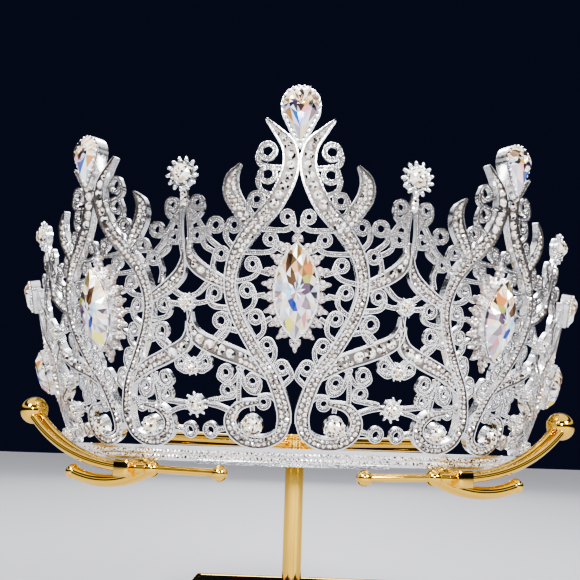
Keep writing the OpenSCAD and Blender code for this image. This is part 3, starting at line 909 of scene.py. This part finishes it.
# Single facets' painted reflection colours, by their place on each large stone
stoneReflectionAccents = {
    "marquise": [
        (-0.1, -0.25, (0.03, 0.07, 0.35)), (-0.35, 0, (0.4, 0.65, 0.82)),
        (-0.2, 0.3, (0.12, 0.06, 0.02)), (-0.35, 0.52, (0.1, 0.05, 0.03)),
        (-0.1, 0.75, (0.18, 0.14, 0.06)), (0.55, 0.5, (0.6, 0.24, 0.08)),
        (0.5, 0.26, (0.42, 0.42, 0.1)), (0.5, 0.07, (0.13, 0.08, 0.13)),
        (0.48, -0.25, (0.3, 0.24, 0.27)), (-0.3, -0.72, (0.9, 0.85, 0.2)),
        (0.35, -0.55, (0.7, 0.32, 0.36)), (0.15, -0.25, (0.65, 0.5, 0.7))],
    "pear": [
        (0, 0.72, (0.02, 0.02, 0.02)), (-0.4, 0.28, (0.04, 0.03, 0.08)),
        (-0.1, 0.2, (0.06, 0.03, 0.02)), (0.55, 0.28, (0.02, 0.015, 0.01)),
        (0.25, 0.25, (0.65, 0.42, 0.12)), (0.3, 0.05, (0.85, 0.38, 0.48)),
        (-0.25, -0.1, (0.06, 0.22, 0.6)), (0.08, -0.25, (0.18, 0.18, 0.42)),
        (-0.6, 0.02, (0.55, 0.3, 0.12)), (0.75, 0.55, (0.3, 0.2, 0.12))],
}


def largeReflectionColours(kind, length, width, flip, near=0.2, tall=1.6):
    # Chooses a facet's painted reflection colour by its place: an accent that is near, or
    # else its zone's tints
    def pick(at):
        x, y = at.x / width * 2 * flip, at.y / length * 2
        distance, tone = min((math.hypot(x - ax, (y - ay) * tall), tone)
                             for ax, ay, tone in stoneReflectionAccents[kind])
        if distance < near:
            return tone
        return random.choice(next(tones for low, tones in stoneReflectionZones if y > low))
    return pick


# A painted reflection colour for a small stone's facet
def smallReflectionColours(at):
    return random.choice(smallReflectionTints)


def petalPoints(points, count, reach, phase=0.5, near=0.2):
    # Evenly spaced places round an outline, with the turn that takes +Y outwards
    ring = grownOutline(points, reach)
    loop = np.array(ring + [ring[0]])
    run = np.concatenate([[0], np.cumsum(np.linalg.norm(np.diff(loop, axis=0), axis=1))])
    out = []
    for k in range(count):
        s = (k + phase) / count * run[-1]
        (x, x1, x2), (y, y1, y2) = ([np.interp((s + step) % run[-1], run, loop[:, i])
                                     for step in (0, -near, near)] for i in (0, 1))
        out.append((x, y, math.degrees(math.atan2(y2 - y1, x2 - x1)) + 180))
    return out


# Cups from the wall's inner side up to a stone's girdle, with bead claws round the edge
cups = {"low": -0.35, "inset": 0.7, "sink": 0.5, "claw": 0.42, "clawReach": 0.15}


def makeCup(points, high, wall):
    # The outline is extruded up, inset, and its middle sunk again
    cup = outlinePiece([(x, y, cups["low"]) for x, y in grownOutline(points, wall)])
    editFaces(cup)
    extrudeUp(high - cups["low"])
    bpy.ops.mesh.inset(thickness=wall * cups["inset"] * mm, depth=0)
    extrudeUp(-cups["sink"])
    objectMode()
    closeNormals(cup)
    return cup


# Halo leaf: half of its outline, and the places and sizes of its stones
lobe = {"side": [(1.45, 0), (1.6, 1), (1.2, 1.8), (0.75, 2.05), (0.62, 2.7), (0.42, 3.3)],
        "tip": 3.65, "thick": 1.2, "bevel": 0.3, "top": (0.8, 0.86, 1), "out": 0.2,
        "stones": [(0, 2.5, 0.8), (-0.72, 1.15, 0.95), (0.72, 1.15, 0.95), (0, 0.3, 0.7)],
        "stone": 1.2, "stoneHigh": 0.4, "stoneTable": 0.5}


def makeLobe():
    # A flat leaf that points along +Y, with softened edges
    half = lobe["side"]
    outline = half + [(0, lobe["tip"])] + [(-x, y) for x, y in reversed(half)]
    piece = outlinePiece([(x, y, 0) for x, y in outline])
    editFaces(piece)
    extrudeUp(lobe["thick"] - lobe["bevel"])
    extrudeUp(lobe["bevel"])
    bpy.ops.transform.resize(value=lobe["top"])
    objectMode()
    closeNormals(piece, merge=0.000001)
    return piece


# Claw of a flower; each bend starts at a share of its radius and narrows what is beyond it
flame = {"length": 2.3, "width": 1.5, "curl": 0.12, "bends": ((0.05, 0.95), (0.6, 0.75)),
         "out": 1.3, "turn": 12}


def makeFlame():
    # A plump claw along +Y, drawn out to a point that curls forward
    radius, stretch = flame["width"] / 2 * mm, (flame["length"] - flame["width"]) / 2 * mm
    piece = startFrom(bpy.ops.mesh.primitive_uv_sphere_add, segments=8, ring_count=6,
                      radius=radius, rotation=(math.radians(-90), 0, 0))
    bpy.ops.object.transform_apply(location=False, rotation=True, scale=False)
    for reach, narrow in flame["bends"]:
        editFaces(piece, lambda polygon: polygon.center.y > radius * reach)
        bpy.ops.transform.resize(value=(narrow, 1, narrow))
        bpy.ops.transform.translate(value=(0, stretch, flame["curl"] * mm))
        objectMode()
    return piece


# Sizes of the stones and where they sit, with the cup's wall as a share of the widest, the
# height of its lip and of the claws over the girdle's lower edge, and the petals or leaves
settings = {
    "marquise": {"length": 25, "width": 11, "at": 0.448, "points": 32, "petals": 18,
                 "reach": 0.35, "claws": 12, "wall": 0.6, "lip": -0.1, "clawUp": 0.45},
    "pear": {"length": 15.4, "width": 9.6, "top": 0.985, "points": 26, "claws": 26,
             "wall": 0.6, "lip": -0.1, "clawUp": 0.45},
    "ring": {"diameter": 5, "at": (0.42, 0.105), "points": 16, "claws": 8, "wall": 0.5},
    "finial": {"diameter": 5.4, "at": (0.783,), "points": 16, "claws": 8, "petals": 13,
               "reach": 0.8, "size": 1},
    "flower": {"diameter": 3.4, "at": (0.161,), "points": 12, "claws": 8, "petals": 10,
               "reach": 0.95, "size": 0.72},
    "small": {"diameter": 2.7, "at": (0.264, 0.434), "points": 12, "claws": 6, "petals": 8,
              "reach": 0.85, "size": 0.5},
}
neck = {"at": (0.742, 0.728, 0.714, 0.7), "out": 0.9, "size": 1.6}


def setStone(kind, points, width, place, colours, made, centre=(0, 0)):
    # Cuts a stone to its outline and makes its cup and claws
    spec = settings[kind]
    if "diameter" in spec:
        base = cut["stud"] + cut["gap"]
    else:
        base = cut["floor"] + 2 * cut["gap"] + cut["pavilion"] * width
    stone = cutStone(kind, points, width, base, colours, centre)
    cup = makeCup(points, base + spec.get("lip", 0.1), cut["wall"] * spec.get("wall", 1))
    for piece in (stone, cup):
        movePiece(piece, place)
    made["cups"].append(cup)
    up = base + spec.get("clawUp", 0.4)
    made["claws"] += [place @ np.array(Matrix.Translation((x * mm, y * mm, up * mm)))
                      for x, y, turn in petalPoints(points, spec["claws"], cups["clawReach"])]
    return stone


def setMarquise(number, panel, made):
    # The main stone in its halo of leaves
    spec = settings["marquise"]
    length, width = spec["length"] * panel["tall"], spec["width"] * panel["wide"]
    points = navetteOutline(length, width, spec["points"])
    spot = onWall(panel, 0, spec["at"])
    count = 2 * round(spec["petals"] * panelSize(panel) ** 0.5 / 2)
    for x, y, turn in petalPoints(points, count, spec["reach"], 0):
        at = wallMatrix(*spot, x=x, y=y, out=lobe["out"], turn=turn)
        made["leaves"].append(at)
        for sx, sy, share in lobe["stones"]:
            made["leafStones"].append(at @ np.array(
                Matrix.Translation((sx * mm, sy * mm, lobe["thick"] * mm))
                @ Matrix.Scale(share, 4)))
    return setStone("marquise", points, width, wallMatrix(*spot),
                    largeReflectionColours("marquise", length, width, 1 if number % 2 else -1), made)


def setPear(number, panel, made):
    spec, size = settings["pear"], panelSize(panel)
    length, width = spec["length"] * size, spec["width"] * size
    points = pearOutline(length, width, spec["points"])
    angle, z = onWall(panel, 0, spec["top"])
    place = wallMatrix(angle, z - length / 2 - cut["wall"] - cut["gap"])
    return setStone("pear", points, width, place,
                    largeReflectionColours("pear", length, width, 1 if number % 2 else -1), made,
                    centre=(0, (length - width) / 3))


def setRound(kind, spot, size, made):
    # A round stone, and the flower of pointed claws where its setting has one
    spec = settings[kind]
    points = roundOutline(spec["diameter"] * size, spec["points"])
    for x, y, turn in petalPoints(points, spec.get("petals", 0), spec.get("reach", 0)):
        made["flowers"].append(wallMatrix(*spot, x=x, y=y, out=flame["out"],
                                          turn=turn + flame["turn"], size=spec["size"]))
    return setStone(kind, points, spec["diameter"] * size, wallMatrix(*spot), smallReflectionColours,
                    made)


def makeStones(made):
    for number, panel in enumerate(panels, 1):
        for kind, setLarge in (("marquise", setMarquise), ("pear", setPear)):
            finishPiece(f"{kind}_crystal_{number}", setLarge(number, panel, made), [crystal],
                        [f"{kind}_stone_{number}"], angle=0)
    x, z = settings["ring"]["at"]
    spots = {"ring": [(onWall(panel, side * x, z), panelSize(panel))
                      for panel in panels for side in (-1, 1)]}
    for kind in ("finial", "flower", "small"):
        spots[kind] = [(onWall(seam, 0, z), 1) for seam in seams for z in settings[kind]["at"]]
    for kind, places in spots.items():
        stones = [setRound(kind, spot, size, made) for spot, size in places]
        nodes = [f"{kind}_stone_{i}" for i in range(1, len(places) + 1)]
        finishPiece(f"{kind}_crystals", joinPieces(stones), [crystal],
                    ["seam_stones"] if kind == "small" else nodes, angle=0)


def makeSettings(made):
    finishPiece("stone_cups", joinPieces(made["cups"]), [silver],
                ["crown_frame"])
    bead = startFrom(bpy.ops.mesh.primitive_uv_sphere_add, segments=8, ring_count=6,
                     radius=cups["claw"] * mm)
    scatterPiece("stone_claws", bead, made["claws"], silver)
    scatterPiece("flower_claws", makeFlame(), made["flowers"], silver)
    scatterPiece("halo_leaves", makeLobe(), made["leaves"], haloSilver, angle=40)
    necks = [wallMatrix(*onWall(seam, 0, z), out=neck["out"], size=neck["size"])
             for seam in seams for z in neck["at"]]
    scatterStones("halo_stones", lobe["stone"], lobe["stoneHigh"], lobe["stoneTable"],
                  made["leafStones"] + necks)


madeParts = {"cups": [], "claws": [], "flowers": [], "leaves": [], "leafStones": []}
makeStones(madeParts)
makeSettings(madeParts)
print("stones and settings ready")

# Stand: lengths in millimetres, angles from the middle of the front, and heights above
# the band's underside for the parts of the cradle
stand = {
    "baseWide": 84, "baseThick": 4, "baseBevel": 0.7, "inset": 1.6, "step": (0.15, -0.12),
    "post": 7.2, "foot": 14, "seat": 0.15, "neckRound": 0.4, "postEdge": 0.3,
    # Turned steps: out from the radius and up from the underside, the hub's for each end
    "footSteps": [(-0.3, 0), (0, 0.3), (0, 0.9), (-0.5, 1.5), (-1.4, 2.1), (-2.2, 2.4)],
    "hubSteps": [(-0.6, 0), (0, 0.6), (0, 1.6), (-0.5, 2)],
    "hub": 15, "hubHigh": 6.6, "hubUp": 3.4, "turnSteps": 64,
    "arm": 4.4, "armFrom": 4, "armIn": 3.73, "armBend": 3, "rail": 2.6, "railGap": 2.9,
    "brace": 3.8, "footBall": 4.56, "rod": 2.2, "block": (6, 7.4, 5), "blockBevel": 0.8,
    "endBall": 9.2, "knob": 4.8, "rodBall": 4.4, "blockAt": 35, "knobAt": 29.5,
    "frontAt": 14, "rest": (50, 3.4, 0.6), "tip": (68, 15.5, 14.6),
    "braceMiddle": (41, 1.3, -6.65), "braceEnd": (51, 6, -4.6),
}


def turnedPiece(profile):
    # Turns an outline of radius and height round the upright axis
    piece = outlinePiece([(r, 0, z) for r, z in profile], fill="NOTHING")
    lathe = piece.modifiers.new("lathe", "SCREW")
    lathe.angle = math.tau
    lathe.steps = lathe.render_steps = stand["turnSteps"]
    lathe.use_merge_vertices = True
    lathe.merge_threshold = 0.000001
    bpy.ops.object.modifier_apply(modifier="lathe")
    closeNormals(piece, merge=0.000001, slivers=0.0000005)
    return piece


def bevelledBox(size, bevel):
    piece = startFrom(bpy.ops.mesh.primitive_cube_add, size=1)
    piece.data.transform(Matrix.Diagonal((*[v * mm for v in size], 1)))
    editFaces(piece)
    bpy.ops.mesh.bevel(offset=bevel * mm, segments=3, affect="EDGES")
    objectMode()
    return piece


def makeTube(name, paths, radius):
    # Round bars along lists of points in metres, turned into one mesh
    curve = bpy.data.curves.new(name, "CURVE")
    curve.dimensions = "3D"
    curve.bevel_depth = radius * mm
    curve.bevel_resolution = 6
    curve.use_fill_caps = True
    for points in paths:
        spline = curve.splines.new("POLY")
        spline.points.add(len(points) - 1)
        for knot, p in zip(spline.points, points):
            knot.co = (*p, 1)
    activate(linkPiece(name, curve))
    bpy.ops.object.convert(target="MESH")
    return bpy.context.object


def cradlePoint(side, angle, radius, z):
    a = math.radians(angle)
    return np.array([side * radius * math.sin(a), -radius * math.cos(a),
                     crown["lift"] + z]) * mm


def arcPoints(p, m, q, count=28):
    # Points along the arc from p through m to q
    a, b = q - p, m - p
    n = np.cross(a, b)
    centre = p + np.cross(a @ a * b - b @ b * a, n) / (2 * n @ n)
    x = (p - centre) / np.linalg.norm(p - centre)
    y = np.cross(-n / np.linalg.norm(n), x)
    turn = math.atan2((q - centre) @ y, (q - centre) @ x) % math.tau
    radius = np.linalg.norm(p - centre)
    return [centre + radius * (x * math.cos(turn * t) + y * math.sin(turn * t))
            for t in np.linspace(0, 1, count)]


def roundedRun(points, radius, count=8):
    # A run of straight bars with its corners rounded
    run = [points[0]]
    for before, corner, after in zip(points, points[1:], points[2:]):
        u = (before - corner) / np.linalg.norm(before - corner)
        v = (after - corner) / np.linalg.norm(after - corner)
        a, b = corner + u * radius * mm, corner + v * radius * mm
        run += [a * (1 - t) ** 2 + corner * 2 * t * (1 - t) + b * t * t
                for t in np.linspace(0, 1, count)]
    run.append(points[-1])
    return run


def ballAt(point, diameter):
    ball = startFrom(bpy.ops.mesh.primitive_uv_sphere_add, segments=40, ring_count=20,
                     radius=diameter / 2 * mm)
    ball.data.transform(Matrix.Translation(point.tolist()))
    return ball


def makePlate():
    # Square plate with a shallow step round its mirror top, whose near-black colour is a
    # painted reflection of the dark surroundings
    wide, thick = stand["baseWide"], stand["baseThick"]
    base = bevelledBox((wide, wide, thick), stand["baseBevel"])
    base.data.transform(Matrix.Translation((0, 0, thick / 2 * mm)))
    top = max(polygon.center.z for polygon in base.data.polygons)
    editFaces(base, lambda polygon: polygon.center.z > top - 0.00001)
    bpy.ops.mesh.inset(thickness=stand["inset"] * mm, depth=0)
    across, deep = stand["step"]
    bpy.ops.mesh.inset(thickness=across * mm, depth=deep * mm)
    objectMode()
    finishPiece("stand_plate", base, [gold, plate], ["stand_base"])
    # The inset top takes the near-black material, a painted reflection of the dark room
    for polygon in base.data.polygons:
        if polygon.select:
            polygon.material_index = 1


def makePost():
    post, foot, low = stand["post"] / 2, stand["foot"] / 2, stand["baseThick"] + stand["seat"]
    steps = [(foot + x, low + z) for x, z in stand["footSteps"]]
    high, soft, edge = steps[-1][1], stand["neckRound"], stand["postEdge"]
    top = crown["lift"] + stand["hubUp"] - stand["seat"]
    profile = [(0, low), *steps, (post + soft, high), (post, high + soft), (post, top - edge),
               (post - edge, top), (0, top)]
    finishPiece("stand_pillar", turnedPiece(profile), [gold], ["stand_post"])


def makeHub():
    low, hub = crown["lift"] + stand["hubUp"], stand["hub"] / 2
    high = low + stand["hubHigh"]
    profile = [(0, low)] + [(hub + x, low + z) for x, z in stand["hubSteps"]]
    profile += [(hub + x, high - z) for x, z in reversed(stand["hubSteps"])] + [(0, high)]
    finishPiece("cradle_hub", turnedPiece(profile), [gold], ["stand_cradle"])


def makeCradle():
    arms, rails, braces, rods, blocks, balls = [], [], [], [], [], []
    edge = wallRadius(0) + crown["bandThick"] / 2
    under = -stand["seat"] - stand["block"][2] / 2
    middle = stand["hubUp"] + stand["hubHigh"] / 2
    inner = wallRadius(0) - crown["bandThick"] / 2 - stand["armIn"]
    at, gap = stand["blockAt"], stand["railGap"]
    turn, out, up = stand["rest"]
    tip, tipOut, tipUp = stand["tip"]
    for side in (-1, 1):
        block = cradlePoint(side, at, edge + gap / 2, under)
        corners = [(stand["armFrom"], middle), (inner, middle), (inner, under)]
        arms.append(roundedRun([cradlePoint(side, at, r, z) for r, z in corners] + [block],
                               stand["armBend"]))
        box = bevelledBox(stand["block"], stand["blockBevel"])
        box.data.transform(Matrix.Translation(block.tolist())
                           @ Matrix.Rotation(math.radians(side * at), 4, "Z"))
        blocks.append(box)
        for k in (0, 1):
            rails.append(arcPoints(
                cradlePoint(side, at, edge + k * gap, under),
                cradlePoint(side, turn, edge + out + k * gap, up),
                cradlePoint(side, tip, edge + tipOut + (k - 0.5) * gap, tipUp), 40))
        balls.append(ballAt(cradlePoint(side, tip, edge + tipOut, tipUp), stand["endBall"]))
        knob = cradlePoint(side, stand["knobAt"], edge, -stand["seat"] - stand["knob"] / 2)
        bend, foot = (cradlePoint(side, angle, edge + far, z)
                      for angle, far, z in (stand["braceMiddle"], stand["braceEnd"]))
        braces += [arcPoints(knob, bend, foot), [block, knob]]
        front = cradlePoint(side, stand["frontAt"], edge, -stand["seat"]
                            - band["stripDrop"] - stand["rodBall"] / 2)
        rods.append([knob, front])
        for place, size in ((foot, "footBall"), (knob, "knob"), (front, "rodBall")):
            balls.append(ballAt(place, stand[size]))
    runs = {"arm": arms, "rail": rails, "brace": braces, "rod": rods}
    pieces = {kind: makeTube(kind, paths, stand[kind] / 2) for kind, paths in runs.items()}
    pieces |= {"block": joinPieces(blocks), "ball": joinPieces(balls)}
    for kind, piece in pieces.items():
        finishPiece(f"cradle_{kind}s", piece, [gold], ["stand_cradle"],
                    angle=35 if kind == "block" else 50)


makePlate()
makePost()
makeHub()
makeCradle()
print("stand ready")
